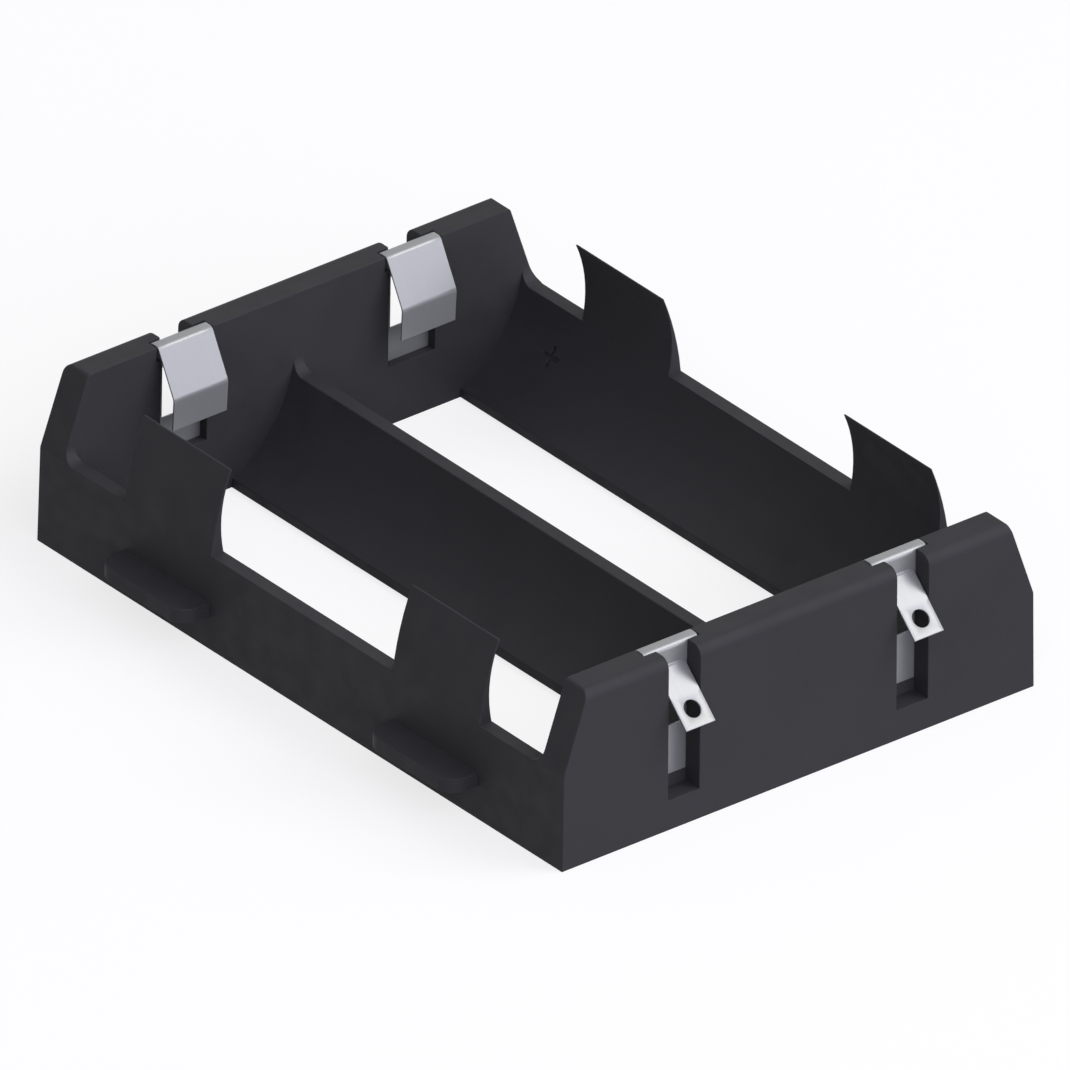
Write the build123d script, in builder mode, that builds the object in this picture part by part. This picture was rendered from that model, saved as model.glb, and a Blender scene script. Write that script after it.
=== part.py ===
"""Holder for two 26650-size cells lying side by side: one moulded body and four folded contacts.

X runs along the cells, Y across them and Z up. The origin is the middle of the flat underside.
"""

from build123d import *
from math import cos, radians, sin, tan
import os

# Cells and the troughs that they lie in
cell_diameter = 26.0
cell_clearance = 0.4
cell_pitch = 27.6
bay_length = 71.4
floor_slot_width = 11.9

# Body
height = 18.5
wall_top = 10.0
side_wall = 1.535
end_wall = 3.6
shoulder_inset = 2.9
draft_angle = 0.6
top_edge_radius = 1.15
top_corner_radius = 0.5
shoulder_radius = 0.8
root_radius = 1.5

# Gripping fingers
finger_width = 13.0
finger_spacing = 40.1
finger_rise = 0.1
finger_tip_thickness = 0.2
finger_middle_thickness = 0.47

# Ledges below the fingers
ledge_width = 12.8
ledge_reach = 3.3
ledge_thickness = 1.5
ledge_bottom = 3.4
ledge_corner_radius = 2.0

# Polarity mark engraved in one trough
mark_size = 2.2
mark_stroke = 0.35
mark_depth = 0.25
mark_inset = 6.9
mark_angle = 33.0

# Contact strip, with its heights measured down from the top of the end walls
strip_thickness = 0.2
strip_width = 6.5
strip_bend_radius = 0.45
fold_rise = 0.05
leaf_start = 0.05
kink_reach = 2.45
kink_drop = 4.7
kink_radius = 1.0
leaf_end_reach = 2.3
leaf_end_drop = 8.0

# Solder lug lanced out of the strip
lug_width = 3.5
lug_angle = 44.0
lug_length = 6.45
lug_bend_drop = 2.3
lug_hole_diameter = 1.85
lug_hole_to_end = 1.85

# Slots in the end walls, with their clearances round the strip
web_thickness = 1.1
slit_clearance = 0.05
side_clearance = 0.15
slit_floor = 4.5
lug_slot_floor = 3.2
window_width = 5.7
window_floor = 6.3
notch_depth = 1.6

# Values worked out from the sizes above
axis_height = cell_diameter / 2
trough_radius = cell_diameter / 2 + cell_clearance
half_pitch = cell_pitch / 2
half_bay = bay_length / 2
half_length = half_bay + end_wall
draft = tan(radians(draft_angle))
slit_inner = half_bay + web_thickness
slit_outer = slit_inner + strip_thickness + 2 * slit_clearance
leg_x = (slit_inner + slit_outer) / 2
slit_width = strip_width + 2 * side_clearance
lug_slot_width = lug_width + 2 * side_clearance
finger_tip_height = height + finger_rise
past = 1.0
end_signs = (-1, 1)
side_signs = (-1, 1)


def trough_y(z):
    """Distance from the middle of the holder to a trough's outer side at height z."""
    return half_pitch + (trough_radius**2 - (axis_height - z) ** 2) ** 0.5


wall_outer = trough_y(wall_top) + side_wall
half_width = wall_outer + wall_top * draft

# The shoulders' rounding starts just above the side walls
shoulder_foot = wall_top + shoulder_radius / 5

# Cuts that hold one contact: from, to, width across and floor height
slot_cuts = (
    (slit_outer, half_length + past, lug_slot_width, lug_slot_floor),
    (slit_inner, slit_outer, slit_width, slit_floor),
    (half_bay - past, slit_inner, window_width, window_floor),
    (half_bay - past, slit_inner, slit_width, height - notch_depth),
)


with BuildPart() as holder_body:
    # Side view: the end walls rise from the level of the side walls
    with BuildSketch(Plane.XZ):
        with BuildLine():
            FilletPolyline(
                (0, 0),
                (half_length, 0),
                (half_length - height * draft, height),
                (half_bay, height),
                (half_bay, wall_top),
                (0, wall_top),
                radius=[0, top_edge_radius, 0, root_radius],
            )
            mirror(about=Plane.YZ)
        make_face()
    extrude(amount=half_width, both=True)

    # End view: drafted sides and sloping shoulders
    with BuildSketch(Plane.YZ):
        with BuildLine():
            FilletPolyline(
                (0, 0),
                (half_width, 0),
                (half_width - shoulder_foot * draft, shoulder_foot),
                (wall_outer - shoulder_inset, height),
                (0, height),
                radius=[0, shoulder_radius, top_corner_radius],
            )
            mirror(about=Plane.YZ)
        make_face()
    extrude(amount=half_length, both=True, mode=Mode.INTERSECT)

    # Fingers on the side walls, their outer faces curved in towards the tips
    middle_z = (wall_top + finger_tip_height) / 2
    finger_root = trough_y(finger_tip_height) - past
    for finger_x in (-finger_spacing / 2, finger_spacing / 2):
        with BuildSketch(Plane.YZ.offset(finger_x)):
            with BuildLine():
                outer_face = ThreePointArc(
                    (wall_outer, wall_top),
                    (trough_y(middle_z) + finger_middle_thickness, middle_z),
                    (trough_y(finger_tip_height) + finger_tip_thickness, finger_tip_height),
                )
                Polyline(
                    outer_face @ 1,
                    (finger_root, finger_tip_height),
                    (finger_root, wall_top),
                    outer_face @ 0,
                )
            make_face()
            mirror(about=Plane.YZ)
        extrude(amount=finger_width / 2, both=True)

    # Troughs, which also shape the inner faces of the fingers
    with BuildSketch(Plane.YZ):
        with Locations((-half_pitch, axis_height), (half_pitch, axis_height)):
            Circle(trough_radius)
    extrude(amount=half_bay, both=True, mode=Mode.SUBTRACT)
    with BuildSketch():
        with Locations((0, -half_pitch), (0, half_pitch)):
            Rectangle(bay_length, floor_slot_width)
    extrude(amount=wall_top, mode=Mode.SUBTRACT)

    # Ledges on the outer faces, below the fingers
    ledge_root = half_width - past
    ledge_depth = past + ledge_reach
    with BuildSketch(Plane.XY.offset(ledge_bottom)) as ledges:
        for side in side_signs:
            with Locations((-finger_spacing / 2, 0), (finger_spacing / 2, 0)):
                with Locations((0, side * (ledge_root + ledge_depth / 2))):
                    Rectangle(ledge_width, ledge_depth)
        tips = ledges.vertices().group_by(Axis.Y)[0] + ledges.vertices().group_by(Axis.Y)[-1]
        fillet(tips, radius=ledge_corner_radius)
    extrude(amount=ledge_thickness)

    # Slots that hold the contacts, the same at both ends of both troughs
    for inner, outer, across, floor in slot_cuts:
        with BuildSketch(Plane.XY.offset(floor)):
            for end in end_signs:
                for side in side_signs:
                    with Locations((end * (inner + outer) / 2, side * half_pitch)):
                        Rectangle(outer - inner, across)
        extrude(amount=height + past - floor, mode=Mode.SUBTRACT)

    # Polarity mark
    drop = radians(mark_angle)
    mark_plane = Plane(
        origin=(
            mark_inset - half_bay,
            half_pitch + trough_radius * cos(drop),
            axis_height - trough_radius * sin(drop),
        ),
        x_dir=(1, 0, 0),
        z_dir=(0, cos(drop), -sin(drop)),
    )
    with BuildSketch(mark_plane):
        Rectangle(mark_size, mark_stroke)
        Rectangle(mark_stroke, mark_size)
    extrude(amount=mark_depth, both=True, mode=Mode.SUBTRACT)

holder_body.part.label = "holder_body"


def contact(end, side):
    """Fold one contact: leg in the wall, fold over its top, leaf in the bay and lug outside."""
    across = Plane(origin=(0, side * half_pitch, 0), x_dir=(end, 0, 0), z_dir=(0, -end, 0))
    fold_z = height + fold_rise - strip_thickness / 2
    bend_z = height - lug_bend_drop
    slope = radians(lug_angle)
    lug_end = (leg_x + lug_length * cos(slope), bend_z - lug_length * sin(slope))
    hole_reach = lug_length - lug_hole_to_end
    hole_x = end * (leg_x + hole_reach * cos(slope))
    hole_z = bend_z - hole_reach * sin(slope)

    with BuildPart() as strip:
        with BuildSketch(across):
            with BuildLine():
                FilletPolyline(
                    (leg_x, slit_floor),
                    (leg_x, fold_z),
                    (half_bay + leaf_start, fold_z),
                    (half_bay - kink_reach, height - kink_drop),
                    (half_bay - leaf_end_reach, height - leaf_end_drop),
                    radius=[strip_bend_radius, strip_bend_radius, kink_radius],
                )
            trace(line_width=strip_thickness)
        extrude(amount=strip_width / 2, both=True)

        # The lug leaves a window in the leg of its own width and length
        with BuildSketch(Plane.YZ.offset(end * leg_x)):
            with Locations((side * half_pitch, bend_z - lug_length / 2)):
                Rectangle(lug_width, lug_length)
        extrude(amount=strip_thickness, both=True, mode=Mode.SUBTRACT)

        with BuildSketch(across):
            with BuildLine():
                FilletPolyline(
                    (leg_x, fold_z - strip_bend_radius),
                    (leg_x, bend_z),
                    lug_end,
                    radius=strip_bend_radius,
                )
            trace(line_width=strip_thickness)
        extrude(amount=lug_width / 2, both=True)

        lug_plane = Plane(
            origin=(hole_x, side * half_pitch, hole_z),
            x_dir=(end * cos(slope), 0, -sin(slope)),
            z_dir=(end * sin(slope), 0, cos(slope)),
        )
        with BuildSketch(lug_plane):
            Circle(lug_hole_diameter / 2)
        extrude(amount=strip_thickness, both=True, mode=Mode.SUBTRACT)
    return strip


os.makedirs("parts", exist_ok=True)
export_step(holder_body.part, "parts/holder_body.step")

for end, end_name in ((1, "front"), (-1, "rear")):
    for side, cell_name in ((-1, "cell_1"), (1, "cell_2")):
        folded = contact(end, side)
        name = "contact_" + cell_name + "_" + end_name
        folded.part.label = name
        export_step(folded.part, "parts/" + name + ".step")
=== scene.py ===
"""Dressed model of a battery holder: one moulded body and four folded spring contacts.

Sizes are named in millimetres and turned to metres by MM. The CAD frame gives every piece its place:
X runs along the cells, Y across them and Z up from the flat underside.
"""

import logging
import math
from dataclasses import dataclass, field
from enum import Enum
from itertools import pairwise

import bmesh
import bpy
from mathutils import Matrix, Vector


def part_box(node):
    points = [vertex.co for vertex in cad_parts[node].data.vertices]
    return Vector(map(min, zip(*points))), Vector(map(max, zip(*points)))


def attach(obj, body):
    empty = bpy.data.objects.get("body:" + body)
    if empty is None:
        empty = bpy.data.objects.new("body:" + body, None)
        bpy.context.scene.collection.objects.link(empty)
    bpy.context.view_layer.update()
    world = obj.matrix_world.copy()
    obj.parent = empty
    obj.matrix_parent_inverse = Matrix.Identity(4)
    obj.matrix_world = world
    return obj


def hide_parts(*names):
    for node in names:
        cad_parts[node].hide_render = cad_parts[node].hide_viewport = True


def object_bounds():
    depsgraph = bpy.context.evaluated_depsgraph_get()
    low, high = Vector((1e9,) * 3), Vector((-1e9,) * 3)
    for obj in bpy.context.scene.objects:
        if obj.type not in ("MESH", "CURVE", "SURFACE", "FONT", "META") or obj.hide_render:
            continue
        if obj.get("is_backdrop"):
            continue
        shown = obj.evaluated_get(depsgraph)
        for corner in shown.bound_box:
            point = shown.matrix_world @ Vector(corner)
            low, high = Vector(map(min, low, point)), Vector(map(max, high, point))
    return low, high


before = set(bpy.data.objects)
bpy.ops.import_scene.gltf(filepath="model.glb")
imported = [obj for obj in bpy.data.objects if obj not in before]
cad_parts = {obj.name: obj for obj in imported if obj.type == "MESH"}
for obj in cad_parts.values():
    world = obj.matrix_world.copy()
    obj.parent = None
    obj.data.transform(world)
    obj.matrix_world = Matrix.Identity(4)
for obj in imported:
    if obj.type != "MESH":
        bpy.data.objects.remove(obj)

MM = 0.001
BODY = "root"
# Two faces that turn by more degrees than this meet in a sharp edge
SHARP = 35.0
# At full weight the largest face at an edge sets the shading there
FLAT_FACE_WEIGHT = 100
# The cosine of the turn up to which two normals count as the same
SAME_NORMAL = math.cos(math.radians(0.1))
# Blender's noise stays between these values nearly everywhere
NOISE_RANGE = {"From Min": 0.3, "From Max": 0.7}

log = logging.getLogger("battery_holder")


def linear(code: str) -> tuple[float, float, float, float]:
    """Turn an sRGB hex colour to linear light.

    Args:
        code: The colour as "#rrggbb".

    Returns:
        Red, green and blue as linear values, and an alpha of 1.
    """
    channels = [int(code[i : i + 2], 16) / 255 for i in (1, 3, 5)]
    red, green, blue = (c / 12.92 if c <= 0.04045 else ((c + 0.055) / 1.055) ** 2.4 for c in channels)
    return (red, green, blue, 1.0)


def add_node(
    tree: bpy.types.NodeTree, kind: str, inputs: dict | None = None, **settings: object
) -> bpy.types.Node:
    """Add a node with its settings, and fill its inputs with values or with other nodes' outputs.

    Args:
        tree: The tree that gets the node.
        kind: The node's type name.
        inputs: A value or an output socket for each input, by the input's name or number.
        **settings: The node's own properties.

    Returns:
        The new node.
    """
    node = tree.nodes.new(kind)
    for name, value in settings.items():
        setattr(node, name, value)
    for key, value in (inputs or {}).items():
        if isinstance(value, bpy.types.NodeSocket):
            tree.links.new(value, node.inputs[key])
        else:
            node.inputs[key].default_value = value
    return node


def per_size(size_mm: float) -> float:
    """Give the pattern scale, in features per metre, of a feature of this size in millimetres."""
    return 1 / (size_mm * MM)


@dataclass(frozen=True)
class MouldedNylon:
    """Black glass-filled nylon, injection moulded against a finely spark-eroded tool.

    The tool's fine pits make the face matt, so that it shows soft grey shine and no mirror image.
    The glass fibres leave a faint mottle in the black where the melt flowed.
    """

    name: str = "black_nylon_moulded"
    colour: str = "#313133"
    mottle_colour: str = "#353537"
    ior: float = 1.53
    # The pits hold back more than half of the smooth resin's mirror shine
    shine: float = 0.15
    roughness_low: float = 0.58
    roughness_high: float = 0.72
    # Spark-eroded pits are about 0.05 mm wide, drawn at 0.22 mm so that they show in the render
    grain_mm: float = 0.22
    grain_height_mm: float = 0.012
    grain_detail: float = 2.0
    mottle_mm: float = 2.4
    mottle_detail: float = 4.0
    flow_mm: float = 14.0
    flow_detail: float = 2.0
    flow_distortion: float = 1.2
    # Mottle times flow, from where it is all plain black to where it is all mottle
    clouds_plain: float = 0.12
    clouds_full: float = 0.4

    def material(self) -> bpy.types.Material:
        """Make the material.

        Returns:
            A node material that reads Object coordinates.
        """
        material = bpy.data.materials.new(self.name)
        material.use_nodes = True
        tree = material.node_tree
        tree.nodes.clear()
        place = add_node(tree, "ShaderNodeTexCoord").outputs["Object"]
        grain = add_node(
            tree,
            "ShaderNodeTexNoise",
            {"Vector": place, "Scale": per_size(self.grain_mm), "Detail": self.grain_detail},
        )
        mottle = add_node(
            tree,
            "ShaderNodeTexNoise",
            {"Vector": place, "Scale": per_size(self.mottle_mm), "Detail": self.mottle_detail},
        )
        flow = add_node(
            tree,
            "ShaderNodeTexNoise",
            {
                "Vector": place,
                "Scale": per_size(self.flow_mm),
                "Detail": self.flow_detail,
                "Distortion": self.flow_distortion,
            },
        )
        clouds = add_node(
            tree, "ShaderNodeMath", {0: mottle.outputs["Fac"], 1: flow.outputs["Fac"]}, operation="MULTIPLY"
        )
        share = add_node(
            tree,
            "ShaderNodeMapRange",
            {"Value": clouds.outputs[0], "From Min": self.clouds_plain, "From Max": self.clouds_full},
        )
        colour = add_node(
            tree,
            "ShaderNodeMix",
            {"Factor": share.outputs["Result"], "A": linear(self.colour), "B": linear(self.mottle_colour)},
            data_type="RGBA",
        )
        roughness = add_node(
            tree,
            "ShaderNodeMapRange",
            {
                "Value": mottle.outputs["Fac"],
                **NOISE_RANGE,
                "To Min": self.roughness_low,
                "To Max": self.roughness_high,
            },
        )
        pits = add_node(
            tree,
            "ShaderNodeBump",
            {"Height": grain.outputs["Fac"], "Distance": self.grain_height_mm * MM, "Strength": 1.0},
        )
        surface = add_node(
            tree,
            "ShaderNodeBsdfPrincipled",
            {
                "Base Color": colour.outputs["Result"],
                "Roughness": roughness.outputs["Result"],
                "IOR": self.ior,
                "Specular IOR Level": self.shine,
                "Normal": pits.outputs["Normal"],
            },
        )
        add_node(tree, "ShaderNodeOutputMaterial", {"Surface": surface.outputs["BSDF"]})
        return material


@dataclass(frozen=True)
class PlatedSpringSteel:
    """Cold-rolled spring steel with a thin nickel plate.

    Rolling leaves fine lines along the strip, which the plate only partly levels. They spread the
    reflections across the strip and leave a satin shine.
    """

    name: str = "nickel_plated_spring_steel"
    colour: str = "#949796"
    line_colour: str = "#8f9291"
    # The dull plate scatters most of the light evenly, as paint does
    metallic: float = 0.35
    roughness_low: float = 0.3
    roughness_high: float = 0.34
    # Roll lines are about 0.02 mm apart, drawn at 0.16 mm so that they show in the render
    line_mm: float = 0.16
    line_length_mm: float = 9.0
    line_height_mm: float = 0.0003
    line_detail: float = 3.0

    def material(self) -> bpy.types.Material:
        """Make the material. The strip is folded about Y, so lines that vary only with Y follow it.

        Returns:
            A node material that reads Object coordinates.
        """
        material = bpy.data.materials.new(self.name)
        material.use_nodes = True
        tree = material.node_tree
        tree.nodes.clear()
        place = add_node(tree, "ShaderNodeTexCoord").outputs["Object"]
        along, across = per_size(self.line_length_mm), per_size(self.line_mm)
        drawn = add_node(tree, "ShaderNodeMapping", {"Vector": place, "Scale": (along, across, along)})
        lines = add_node(
            tree,
            "ShaderNodeTexNoise",
            {"Vector": drawn.outputs["Vector"], "Scale": 1.0, "Detail": self.line_detail},
        )
        colour = add_node(
            tree,
            "ShaderNodeMix",
            {"Factor": lines.outputs["Fac"], "A": linear(self.colour), "B": linear(self.line_colour)},
            data_type="RGBA",
        )
        roughness = add_node(
            tree,
            "ShaderNodeMapRange",
            {
                "Value": lines.outputs["Fac"],
                **NOISE_RANGE,
                "To Min": self.roughness_low,
                "To Max": self.roughness_high,
            },
        )
        ridges = add_node(
            tree,
            "ShaderNodeBump",
            {"Height": lines.outputs["Fac"], "Distance": self.line_height_mm * MM, "Strength": 1.0},
        )
        surface = add_node(
            tree,
            "ShaderNodeBsdfPrincipled",
            {
                "Base Color": colour.outputs["Result"],
                "Metallic": self.metallic,
                "Roughness": roughness.outputs["Result"],
                "Normal": ridges.outputs["Normal"],
            },
        )
        add_node(tree, "ShaderNodeOutputMaterial", {"Surface": surface.outputs["BSDF"]})
        return material


def baked(made: bpy.types.Object, name: str) -> bpy.types.Object:
    """Turn an object's modifiers into plain mesh.

    Args:
        made: The object with live modifiers. It is removed.
        name: The new piece's name.

    Returns:
        A plain mesh object at the origin.
    """
    depsgraph = bpy.context.evaluated_depsgraph_get()
    mesh = bpy.data.meshes.new_from_object(made.evaluated_get(depsgraph), depsgraph=depsgraph)
    bpy.data.objects.remove(made)
    mesh.name = name
    piece = bpy.data.objects.new(name, mesh)
    bpy.context.scene.collection.objects.link(piece)
    return piece


def soften(piece: bpy.types.Object, radius: float, segments: int, limit: str) -> None:
    """Round a piece's sharp edges and let its flat faces set the shading.

    Args:
        piece: The piece that gets the modifiers.
        radius: The rounding in millimetres.
        segments: The number of steps in the rounding.
        limit: What chooses the edges: "WEIGHT" for their own weights, or "ANGLE" for all sharp ones.
    """
    bevel = piece.modifiers.new("soften", "BEVEL")
    bevel.width = radius * MM
    bevel.segments = segments
    bevel.limit_method = limit
    bevel.angle_limit = math.radians(SHARP)
    # The shortest edge of the piece would hold back the rounding of all the others
    bevel.use_clamp_overlap = False
    shading = piece.modifiers.new("shading", "WEIGHTED_NORMAL")
    shading.weight = FLAT_FACE_WEIGHT
    shading.keep_sharp = True


def split_faces(piece: bpy.types.Object) -> None:
    """Split a piece's faces into triangles whose corners keep the normals that they had.

    A face that has its own normal at most of its corners is flat, and gets it at all of them.

    Args:
        piece: A plain mesh object.
    """
    mesh = piece.data
    kept = {}
    for polygon in mesh.polygons:
        normals = [mesh.corner_normals[corner].vector.copy() for corner in polygon.loop_indices]
        own = [normal for normal in normals if normal.dot(polygon.normal) > SAME_NORMAL]
        if len(own) > len(normals) / 2:
            normals = [polygon.normal.copy()] * len(normals)
        for vertex, normal in zip(polygon.vertices, normals):
            kept[polygon.index, vertex] = normal
    bm = bmesh.new()
    bm.from_mesh(mesh)
    origin = bm.faces.layers.int.new("origin")
    for face in bm.faces:
        face[origin] = face.index
    bmesh.ops.triangulate(bm, faces=bm.faces)
    # Across a smooth edge Blender would average normals that differ, so those edges become sharp
    for edge in bm.edges:
        one, other = (face[origin] for face in edge.link_faces)
        turns = [kept[one, end.index].dot(kept[other, end.index]) for end in edge.verts]
        edge.smooth = min(turns) > SAME_NORMAL
    bm.to_mesh(mesh)
    bm.free()
    origins = mesh.attributes["origin"]
    normals = []
    for triangle in mesh.polygons:
        face = origins.data[triangle.index].value
        normals += [kept[face, vertex] for vertex in triangle.vertices]
    mesh.attributes.remove(origins)
    mesh.normals_split_custom_set(normals)


@dataclass
class MouldedBody:
    """The one-piece moulding with its troughs, end walls, fingers, ledges and contact slots."""

    finish: MouldedNylon
    node: str = "holder_body"
    name: str = "body_moulding"
    slot: str = "moulded_plastic"
    # Points nearer than this are one, and faces that turn by fewer degrees than this are one flat face
    weld: float = 0.0005
    flat_angle: float = 0.2
    edge_radius: float = 0.07
    edge_segments: int = 2
    # A face corner of fewer degrees, and an edge of fewer millimetres, leave no room for the rounding
    narrow_corner: float = 25.0
    short_edge: float = 0.4

    def welded_copy(self) -> bpy.types.Mesh:
        """Join the loose triangles of the CAD node and clear the edges inside its flat faces.

        Returns:
            A closed mesh in the place of the node.
        """
        bm = bmesh.new()
        bm.from_mesh(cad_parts[self.node].data)
        bmesh.ops.remove_doubles(bm, verts=bm.verts, dist=self.weld * MM)
        bmesh.ops.dissolve_limit(
            bm, angle_limit=math.radians(self.flat_angle), verts=bm.verts, edges=bm.edges
        )
        for face in bm.faces:
            face.smooth = True
        self.weigh_edges(bm)
        mesh = bpy.data.meshes.new(self.name)
        bm.to_mesh(mesh)
        bm.free()
        return mesh

    def weigh_edges(self, bm: bmesh.types.BMesh) -> None:
        """Find the sharp edges, and give those that are to be rounded a weight.

        Only outer edges are rounded: where two faces meet in a hollow the mould's edge is sharp. An edge
        beside a narrow face corner has no room for the rounding, and nor has a short edge next to either.

        Args:
            bm: The body's mesh.
        """
        crowded = set()
        pinched = set()
        for edge in bm.edges:
            edge.smooth = edge.calc_face_angle() < math.radians(SHARP)
            corners = [loop for face in edge.link_faces for loop in face.loops if loop.vert in edge.verts]
            if min(corner.calc_angle() for corner in corners) < math.radians(self.narrow_corner):
                pinched.add(edge)
            if not edge.smooth and (edge in pinched or not edge.is_convex):
                crowded.update(edge.verts)
        rounding = bm.edges.layers.float.new("bevel_weight_edge")
        for edge in bm.edges:
            cramped = edge.calc_length() < self.short_edge * MM and not crowded.isdisjoint(edge.verts)
            plain = edge.smooth or not edge.is_convex or edge in pinched or cramped
            edge[rounding] = 0.0 if plain else 1.0

    def build(self) -> list[bpy.types.Object]:
        """Make the moulding and put it in the place of its CAD node.

        Returns:
            The one piece.
        """
        made = bpy.data.objects.new(self.name, self.welded_copy())
        bpy.context.scene.collection.objects.link(made)
        soften(made, self.edge_radius, self.edge_segments, "WEIGHT")
        piece = baked(made, self.name)
        split_faces(piece)
        piece.data.materials.clear()
        piece.data.materials.append(self.finish.material())
        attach(piece, BODY)
        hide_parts(self.node)
        return [piece]


class End(Enum):
    """The end wall that a contact stands in, as the turn about Z that brings it there."""

    FRONT = 0.0
    REAR = math.pi


class Line(Enum):
    """The line that a stretch of the flat blank is folded along."""

    STRIP = 0
    LUG = 1


def spaced(start: float, stop: float, count: int) -> list[float]:
    """Divide a stretch into a number of even steps."""
    return [start + (stop - start) * i / count for i in range(count + 1)]


@dataclass
class Blank:
    """The flat sheet of a contact. X is the way along a fold line, and Y runs across the strip."""

    places: list[tuple[float, float, float]] = field(default_factory=list)
    faces: list[tuple[int, ...]] = field(default_factory=list)
    lines: list[int] = field(default_factory=list)

    def add_point(self, along: float, across: float, line: Line) -> int:
        """Add a point of the sheet.

        Args:
            along: Its station along the fold line, in millimetres.
            across: Its place across the strip, in millimetres.
            line: The fold line that it follows.

        Returns:
            The point's number.
        """
        self.places.append((along * MM, across * MM, 0.0))
        self.lines.append(line.value)
        return len(self.places) - 1

    def add_grid(self, columns: list[float], rows: list[float], line: Line) -> None:
        """Add a rectangle of sheet.

        Args:
            columns: Its stations along the fold line.
            rows: Its stations across the strip.
            line: The fold line that it follows.
        """
        grid = [[self.add_point(x, y, line) for y in rows] for x in columns]
        for left, right in pairwise(grid):
            for below in range(len(rows) - 1):
                above = below + 1
                self.faces.append((left[below], right[below], right[above], left[above]))

    def add_holed_square(self, middle: float, half: float, radius: float, steps: int, line: Line) -> None:
        """Add a square of sheet with a round hole in its middle.

        Args:
            middle: The hole's station along the fold line.
            half: Half the square's side.
            radius: The hole's radius.
            steps: The number of points on each side of the square.
            line: The fold line that it follows.
        """
        side = [2 * half * i / steps - half for i in range(steps)]
        outline = [(x, -half) for x in side]
        outline += [(half, y) for y in side]
        outline += [(-x, half) for x in side]
        outline += [(-half, -y) for y in side]
        outer = [self.add_point(middle + x, y, line) for x, y in outline]
        inner = []
        for x, y in outline:
            reach = math.hypot(x, y)
            inner.append(self.add_point(middle + x * radius / reach, y * radius / reach, line))
        for i in range(len(outline)):
            after = (i + 1) % len(outline)
            self.faces.append((outer[i], outer[after], inner[after], inner[i]))

    def mesh(self, name: str) -> bpy.types.Mesh:
        """Make the mesh, which keeps each point's fold line as an attribute.

        Args:
            name: The mesh's name.

        Returns:
            The flat mesh.
        """
        mesh = bpy.data.meshes.new(name)
        mesh.from_pydata(self.places, [], self.faces)
        attribute = mesh.attributes.new("fold_line", "INT", "POINT")
        attribute.data.foreach_set("value", self.lines)
        return mesh


@dataclass(frozen=True)
class FoldLine:
    """A polyline in the contact's side view that the sheet follows, with a round bend at each corner."""

    corners: tuple[tuple[float, float], ...]
    radii: tuple[float, ...]
    # A run of fewer millimetres is only a rounding error between two stations
    shortest_run: float = 1e-6

    def stations(self, bend_steps: int) -> list[float]:
        """Work out how far along the line each straight run and each step of a bend ends.

        Args:
            bend_steps: The number of straight steps that stand for a bend.

        Returns:
            The stations in millimetres from the line's start, which is 0.
        """
        points = [Vector(corner) for corner in self.corners]
        runs = [(b - a).length for a, b in pairwise(points)]
        stations = [0.0]
        for i in range(1, len(points) - 1):
            turn = (points[i] - points[i - 1]).angle(points[i + 1] - points[i])
            tangent = self.radii[i] * math.tan(turn / 2)
            chord = 2 * self.radii[i] * math.sin(turn / bend_steps / 2)
            stations.append(stations[-1] + runs[i - 1] - tangent)
            runs[i] -= tangent
            for _ in range(bend_steps):
                stations.append(stations[-1] + chord)
        stations.append(stations[-1] + runs[-1])
        following = stations[1:] + [math.inf]
        return [
            station for station, after in zip(stations, following) if after - station > self.shortest_run
        ]


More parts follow.
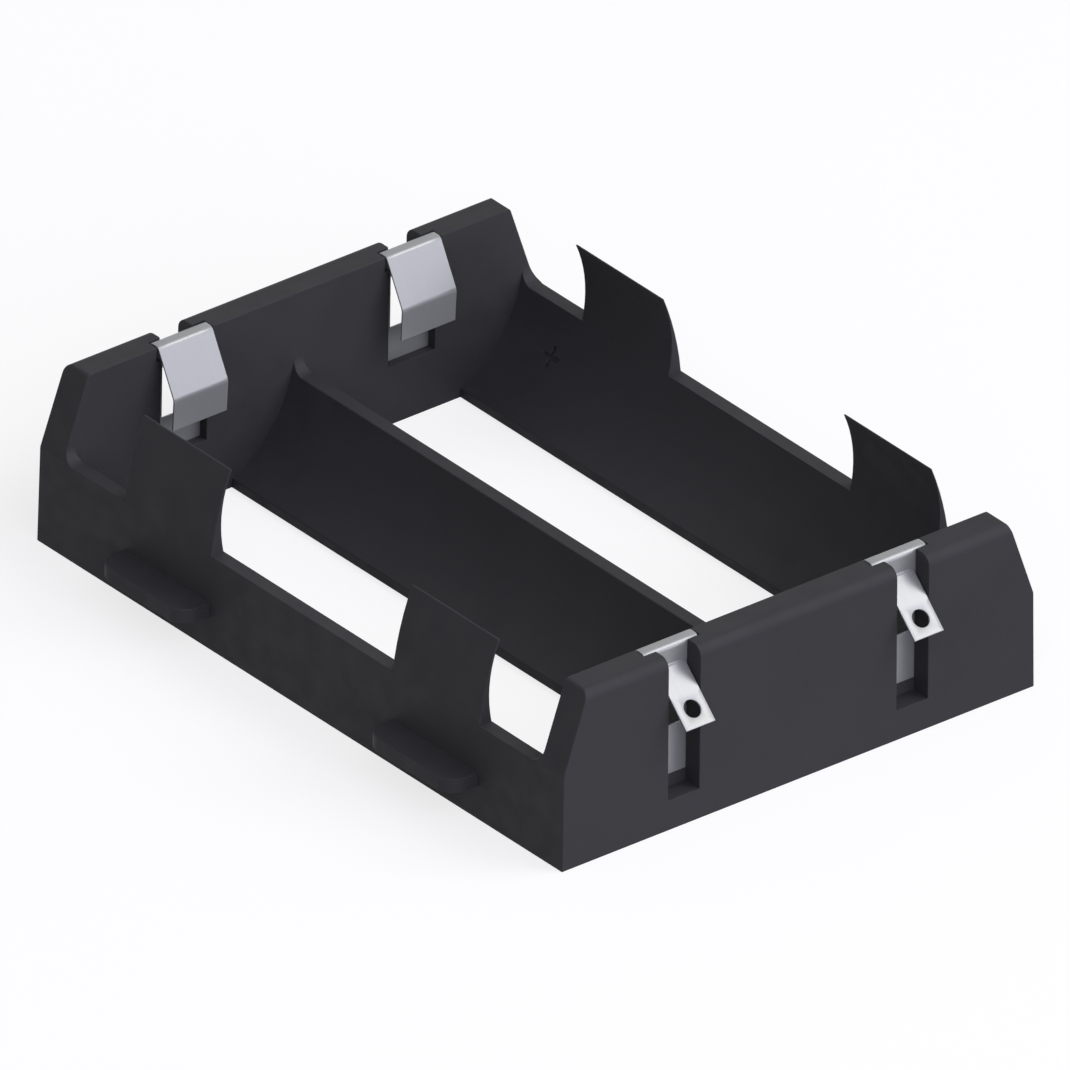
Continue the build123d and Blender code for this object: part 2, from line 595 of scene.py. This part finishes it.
def fold_tree() -> bpy.types.NodeTree:
    """Make the node tree that folds a flat blank along its fold lines and sets it in an end wall.

    Returns:
        The tree, with the fold lines, the steps in a bend, the turn and the place as named inputs.
    """
    tree = bpy.data.node_groups.new("folded_sheet", "GeometryNodeTree")
    inputs = (
        ("Geometry", "NodeSocketGeometry"),
        ("Fold Lines", "NodeSocketObject"),
        ("Bend Steps", "NodeSocketInt"),
        ("Turn", "NodeSocketFloat"),
        ("Place", "NodeSocketVector"),
        ("Weld", "NodeSocketFloat"),
        ("Finish", "NodeSocketMaterial"),
    )
    for name, kind in inputs:
        tree.interface.new_socket(name, in_out="INPUT", socket_type=kind)
    tree.interface.new_socket("Geometry", in_out="OUTPUT", socket_type="NodeSocketGeometry")
    given = add_node(tree, "NodeGroupInput").outputs
    lines = add_node(tree, "GeometryNodeObjectInfo", {"Object": given["Fold Lines"]})
    # Each point of a fold line carries its bend radius as the curve's own point radius
    bends = add_node(
        tree,
        "GeometryNodeFilletCurve",
        {
            "Curve": lines.outputs["Geometry"],
            "Radius": add_node(tree, "GeometryNodeInputRadius").outputs["Radius"],
            "Count": given["Bend Steps"],
        },
        mode="POLY",
    )
    flat = add_node(
        tree, "ShaderNodeSeparateXYZ", {0: add_node(tree, "GeometryNodeInputPosition").outputs["Position"]}
    )
    line = add_node(tree, "GeometryNodeInputNamedAttribute", {"Name": "fold_line"}, data_type="INT")
    station = add_node(
        tree,
        "GeometryNodeSampleCurve",
        {
            "Curves": bends.outputs["Curve"],
            "Length": flat.outputs["X"],
            "Curve Index": line.outputs["Attribute"],
        },
        mode="LENGTH",
    )
    across = add_node(tree, "ShaderNodeCombineXYZ", {"Y": flat.outputs["Y"]})
    folded = add_node(
        tree,
        "ShaderNodeVectorMath",
        {0: station.outputs["Position"], 1: across.outputs[0]},
        operation="ADD",
    )
    turned = add_node(
        tree,
        "ShaderNodeVectorRotate",
        {"Vector": folded.outputs[0], "Angle": given["Turn"]},
        rotation_type="Z_AXIS",
    )
    placed = add_node(
        tree, "ShaderNodeVectorMath", {0: turned.outputs[0], 1: given["Place"]}, operation="ADD"
    )
    bent = add_node(
        tree,
        "GeometryNodeSetPosition",
        {"Geometry": given["Geometry"], "Position": placed.outputs[0]},
    )
    welded = add_node(
        tree,
        "GeometryNodeMergeByDistance",
        {"Geometry": bent.outputs["Geometry"], "Distance": given["Weld"]},
    )
    smooth = add_node(tree, "GeometryNodeSetShadeSmooth", {"Geometry": welded.outputs["Geometry"]})
    real = add_node(tree, "GeometryNodeRealizeInstances", {"Geometry": smooth.outputs["Geometry"]})
    dressed = add_node(
        tree,
        "GeometryNodeSetMaterial",
        {"Geometry": real.outputs["Geometry"], "Material": given["Finish"]},
    )
    add_node(tree, "NodeGroupOutput", {0: dressed.outputs["Geometry"]})
    return tree


def set_inputs(modifier: bpy.types.Modifier, values: dict) -> None:
    """Set a Geometry Nodes modifier's inputs by the identifiers of their named sockets.

    Args:
        modifier: The modifier, with its tree in place.
        values: The value of each input, by the input's name.
    """
    sockets = {item.name: item.identifier for item in modifier.node_group.interface.items_tree}
    for name, value in values.items():
        modifier[sockets[name]] = value


@dataclass
class SpringContacts:
    """The four contacts, each cut from one flat blank and folded over the top of an end wall.

    The bay's half and the leg's reach are measured from the middle of the holder, the leaf's start and
    reaches from the end of the bay, and the drops from the fold's upper face.
    """

    finish: PlatedSpringSteel
    slot: str = "plated_spring_steel"
    thickness: float = 0.2
    half_bay: float = 35.7
    leg_reach: float = 36.95
    fold_radius: float = 0.45
    leaf_start: float = 0.05
    kink_reach: float = 2.45
    kink_drop: float = 4.75
    kink_radius: float = 1.0
    leaf_end_reach: float = 2.3
    leaf_end_drop: float = 8.05
    lug_width: float = 3.5
    lug_length: float = 6.45
    lug_angle: float = 44.0
    lug_bend_drop: float = 2.35
    lug_hole_radius: float = 0.925
    lug_hole_to_end: float = 1.85
    lug_rows: int = 12
    bend_steps: int = 12
    weld: float = 0.0005
    edge_radius: float = 0.03
    edge_segments: int = 2

    def lines(self, foot: float, top: float) -> tuple[FoldLine, FoldLine]:
        """Lay out the fold lines of the strip and of its lug in the side view.

        Args:
            foot: The height of the leg's foot.
            top: The height of the fold's upper face.

        Returns:
            The strip's line from its foot, and the lug's line from the top of its bend.
        """
        fold_height = top - self.thickness / 2
        strip = FoldLine(
            (
                (self.leg_reach, foot),
                (self.leg_reach, fold_height),
                (self.half_bay + self.leaf_start, fold_height),
                (self.half_bay - self.kink_reach, top - self.kink_drop),
                (self.half_bay - self.leaf_end_reach, top - self.leaf_end_drop),
            ),
            (0.0, self.fold_radius, self.fold_radius, self.kink_radius, 0.0),
        )
        bend = top - self.lug_bend_drop
        slope = math.radians(self.lug_angle)
        tangent = self.fold_radius * math.tan((math.pi / 2 - slope) / 2)
        lug = FoldLine(
            (
                (self.leg_reach, bend + tangent),
                (self.leg_reach, bend),
                (
                    self.leg_reach + self.lug_length * math.cos(slope),
                    bend - self.lug_length * math.sin(slope),
                ),
            ),
            (0.0, self.fold_radius, 0.0),
        )
        return strip, lug

    def blank(self, strip: FoldLine, lug: FoldLine, width: float) -> Blank:
        """Cut the flat blank: the strip with the window that the lug leaves, and the lug with its hole.

        Args:
            strip: The strip's fold line.
            lug: The lug's fold line.
            width: The strip's width.

        Returns:
            The flat blank.
        """
        foot = strip.corners[0][1]
        window_top = lug.corners[0][1] - foot
        window_foot = lug.corners[1][1] - self.lug_length - foot
        half_lug = self.lug_width / 2
        middle = spaced(-half_lug, half_lug, self.lug_rows)
        below = [0.0, window_foot]
        beside = [window_foot, window_top]
        above = [window_top] + [x for x in strip.stations(self.bend_steps) if x > window_top]
        blank = Blank()
        for rail in ([-width / 2, -half_lug], [half_lug, width / 2]):
            for columns in (below, beside, above):
                blank.add_grid(columns, rail, Line.STRIP)
        blank.add_grid(below, middle, Line.STRIP)
        blank.add_grid(above, middle, Line.STRIP)
        bend = lug.stations(self.bend_steps)
        lug_end = bend.pop()
        hole = lug_end - self.lug_hole_to_end
        blank.add_grid(bend + [hole - half_lug], middle, Line.LUG)
        blank.add_holed_square(hole, half_lug, self.lug_hole_radius, self.lug_rows, Line.LUG)
        blank.add_grid([hole + half_lug, lug_end], middle, Line.LUG)
        return blank

    def line_object(self, lines: tuple[FoldLine, ...]) -> bpy.types.Object:
        """Make the fold lines as one curve object, with each corner's bend as its point radius.

        Args:
            lines: The fold lines, in the order of Line.

        Returns:
            The curve object, in the side view over Y = 0.
        """
        curve = bpy.data.curves.new("fold_lines", "CURVE")
        curve.dimensions = "3D"
        for line in lines:
            spline = curve.splines.new("POLY")
            spline.points.add(len(line.corners) - 1)
            for point, (reach, height), radius in zip(spline.points, line.corners, line.radii):
                point.co = (reach * MM, 0.0, height * MM, 1.0)
                point.radius = radius * MM
        made = bpy.data.objects.new("fold_lines", curve)
        bpy.context.scene.collection.objects.link(made)
        return made

    def build(self) -> list[bpy.types.Object]:
        """Make the contacts and put each in the place of its CAD node.

        Returns:
            The four pieces.
        """
        tree = fold_tree()
        finish = self.finish.material()
        pieces = []
        for cell in (1, 2):
            for end in End:
                node = f"contact_cell_{cell}_{end.name.lower()}"
                low, high = (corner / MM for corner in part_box(node))
                strip, lug = self.lines(low.z, high.z)
                lines = self.line_object((strip, lug))
                mesh = self.blank(strip, lug, high.y - low.y).mesh(node)
                made = bpy.data.objects.new(node, mesh)
                bpy.context.scene.collection.objects.link(made)
                folding = made.modifiers.new("folding", "NODES")
                folding.node_group = tree
                set_inputs(
                    folding,
                    {
                        "Fold Lines": lines,
                        "Bend Steps": self.bend_steps,
                        "Turn": end.value,
                        "Place": (0.0, (low.y + high.y) / 2 * MM, 0.0),
                        "Weld": self.weld * MM,
                        "Finish": finish,
                    },
                )
                sheet = made.modifiers.new("sheet", "SOLIDIFY")
                sheet.thickness = self.thickness * MM
                sheet.offset = 0.0
                soften(made, self.edge_radius, self.edge_segments, "ANGLE")
                piece = baked(made, f"spring_contact_{cell}_{end.name.lower()}")
                bpy.data.objects.remove(lines)
                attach(piece, BODY)
                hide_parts(node)
                pieces.append(piece)
        return pieces


def seen_directly(tree: bpy.types.NodeTree) -> bpy.types.NodeSocket:
    """Tell whether the camera, a reflection or a see-through material looks at this place.

    Args:
        tree: The tree that gets the nodes.

    Returns:
        A value of 1 where it does, and 0 where the place only lights others.
    """
    path = add_node(tree, "ShaderNodeLightPath").outputs
    largest = path["Is Camera Ray"]
    for kind in ("Is Glossy Ray", "Is Transmission Ray"):
        larger = add_node(tree, "ShaderNodeMath", {0: largest, 1: path[kind]}, operation="MAXIMUM")
        largest = larger.outputs[0]
    return largest


@dataclass(frozen=True)
class PaleFloor:
    """A plain matt floor. It looks nearly white, and isn't part of the object."""

    name: str = "floor"
    # Only what the floor lights sees this grey, so that it throws little light up
    colour: str = "#686868"
    seen_colour: str = "#909090"
    seen_glow: float = 0.75
    half_width_mm: float = 3000.0
    below_mm: float = 0.01

    def build(self) -> None:
        """Lay the floor. What the camera and a reflection see of it is lifted towards white."""
        half, height = self.half_width_mm * MM, -self.below_mm * MM
        mesh = bpy.data.meshes.new(self.name)
        outline = ((-half, -half), (half, -half), (half, half), (-half, half))
        mesh.from_pydata([(x, y, height) for x, y in outline], [], [(0, 1, 2, 3)])
        floor = bpy.data.objects.new(self.name, mesh)
        bpy.context.scene.collection.objects.link(floor)
        material = bpy.data.materials.new("matt_paper")
        material.use_nodes = True
        tree = material.node_tree
        tree.nodes.clear()
        plain = add_node(tree, "ShaderNodeBsdfDiffuse", {"Color": linear(self.colour)})
        shaded = add_node(tree, "ShaderNodeBsdfDiffuse", {"Color": linear(self.seen_colour)})
        glow = add_node(tree, "ShaderNodeEmission", {"Strength": self.seen_glow})
        lifted = add_node(tree, "ShaderNodeAddShader", {0: shaded.outputs[0], 1: glow.outputs[0]})
        seen = seen_directly(tree)
        above = add_node(tree, "ShaderNodeMixShader", {0: seen, 1: plain.outputs[0], 2: lifted.outputs[0]})
        # From below the floor is clear, so that the underside can be looked at
        clear = add_node(tree, "ShaderNodeBsdfTransparent")
        back = add_node(tree, "ShaderNodeNewGeometry").outputs["Backfacing"]
        surface = add_node(tree, "ShaderNodeMixShader", {0: back, 1: above.outputs[0], 2: clear.outputs[0]})
        add_node(tree, "ShaderNodeOutputMaterial", {"Surface": surface.outputs[0]})
        mesh.materials.append(material)
        floor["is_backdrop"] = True


def toward(azimuth: float, elevation: float) -> Vector:
    """Give the direction from the object to an observer. Azimuth 0 looks along +Y, and 90 along -X.

    Args:
        azimuth: The way round the object, in degrees.
        elevation: The height above the horizon, in degrees.

    Returns:
        A vector of length 1.
    """
    around, up = math.radians(azimuth), math.radians(elevation)
    return Vector((math.sin(around) * math.cos(up), -math.cos(around) * math.cos(up), math.sin(up)))


@dataclass(frozen=True)
class SoftLamp:
    """A square soft box that faces the object.

    Its level is how bright it would make a white face if it were small, and its radiance is how bright
    its own face is, both beside a white of 1.
    """

    name: str
    azimuth: float
    elevation: float
    level: float
    radiance: float
    colour: str
    distance_mm: float = 1500.0

    def build(self, target: Vector) -> None:
        """Hang the lamp.

        Args:
            target: The point that it faces, in metres.
        """
        light = bpy.data.lights.new(self.name, "AREA")
        light.shape = "SQUARE"
        light.color = linear(self.colour)[:3]
        distance = self.distance_mm * MM
        # A larger box gives the same light with a dimmer face
        light.size = distance * math.sqrt(math.pi * self.level / self.radiance)
        # At this power a white face that looks at a small lamp has a radiance of level
        light.energy = self.level * (math.pi * distance) ** 2
        lamp = bpy.data.objects.new(self.name, light)
        direction = toward(self.azimuth, self.elevation)
        lamp.location = target + direction * distance
        lamp.rotation_euler = (-direction).to_track_quat("-Z", "Y").to_euler()
        bpy.context.scene.collection.objects.link(lamp)


@dataclass(frozen=True)
class Studio:
    """The stage: a pale floor, an even world that is white to look at, and two soft lamps."""

    floor: PaleFloor = PaleFloor()
    world_colour: str = "#ffffff"
    world_light: float = 0.27
    lamps: tuple[SoftLamp, ...] = (
        SoftLamp("key_lamp", azimuth=139.0, elevation=47.0, level=0.34, radiance=3.4, colour="#fffcf4"),
        SoftLamp("side_lamp", azimuth=90.0, elevation=13.0, level=3.6, radiance=1.9, colour="#ece8ff"),
    )

    def build(self, target: Vector) -> None:
        """Set the stage round the object.

        Args:
            target: The point that the lamps face, in metres.
        """
        self.floor.build()
        world = bpy.data.worlds.new("even_white")
        world.use_nodes = True
        tree = world.node_tree
        tree.nodes.clear()
        strength = add_node(
            tree,
            "ShaderNodeMapRange",
            {"Value": seen_directly(tree), "To Min": self.world_light, "To Max": 1.0},
        )
        light = add_node(
            tree,
            "ShaderNodeBackground",
            {"Color": linear(self.world_colour), "Strength": strength.outputs["Result"]},
        )
        add_node(tree, "ShaderNodeOutputWorld", {"Surface": light.outputs[0]})
        bpy.context.scene.world = world
        for lamp in self.lamps:
            lamp.build(target)


@dataclass(frozen=True)
class ProductCamera:
    """A parallel view from above one corner. Its width is that of the whole square picture."""

    azimuth: float = 50.66
    elevation: float = 30.16
    roll: float = 0.83
    width_mm: float = 100.58
    aim_mm: tuple[float, float, float] = (-0.23, 0.0, 8.38)
    distance_mm: float = 500.0
    nearest_mm: float = 10.0
    farthest_mm: float = 5000.0

    def build(self) -> None:
        """Set up the camera and make it the scene's."""
        lens = bpy.data.cameras.new("product_camera")
        lens.type = "ORTHO"
        lens.ortho_scale = self.width_mm * MM
        lens.clip_start = self.nearest_mm * MM
        lens.clip_end = self.farthest_mm * MM
        camera = bpy.data.objects.new("product_camera", lens)
        back = toward(self.azimuth, self.elevation)
        level = (-back).to_track_quat("-Z", "Y").to_matrix()
        turn = Matrix.Rotation(math.radians(self.roll), 3, "Z")
        place = Vector(self.aim_mm) * MM + back * self.distance_mm * MM
        camera.matrix_world = Matrix.Translation(place) @ (level @ turn).to_4x4()
        bpy.context.scene.collection.objects.link(camera)
        bpy.context.scene.camera = camera


def main() -> None:
    """Build the holder, its stage and its camera, and report each piece."""
    logging.basicConfig(level=logging.INFO, format="%(name)s: %(message)s")
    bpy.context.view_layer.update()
    low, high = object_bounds()
    for part in (MouldedBody(MouldedNylon()), SpringContacts(PlatedSpringSteel())):
        for piece in part.build():
            log.info("%s has %d faces", piece.name, len(piece.data.polygons))
    Studio().build((low + high) / 2)
    ProductCamera().build()
    bpy.context.scene.view_settings.view_transform = "Standard"


if __name__ == "__main__":
    main()
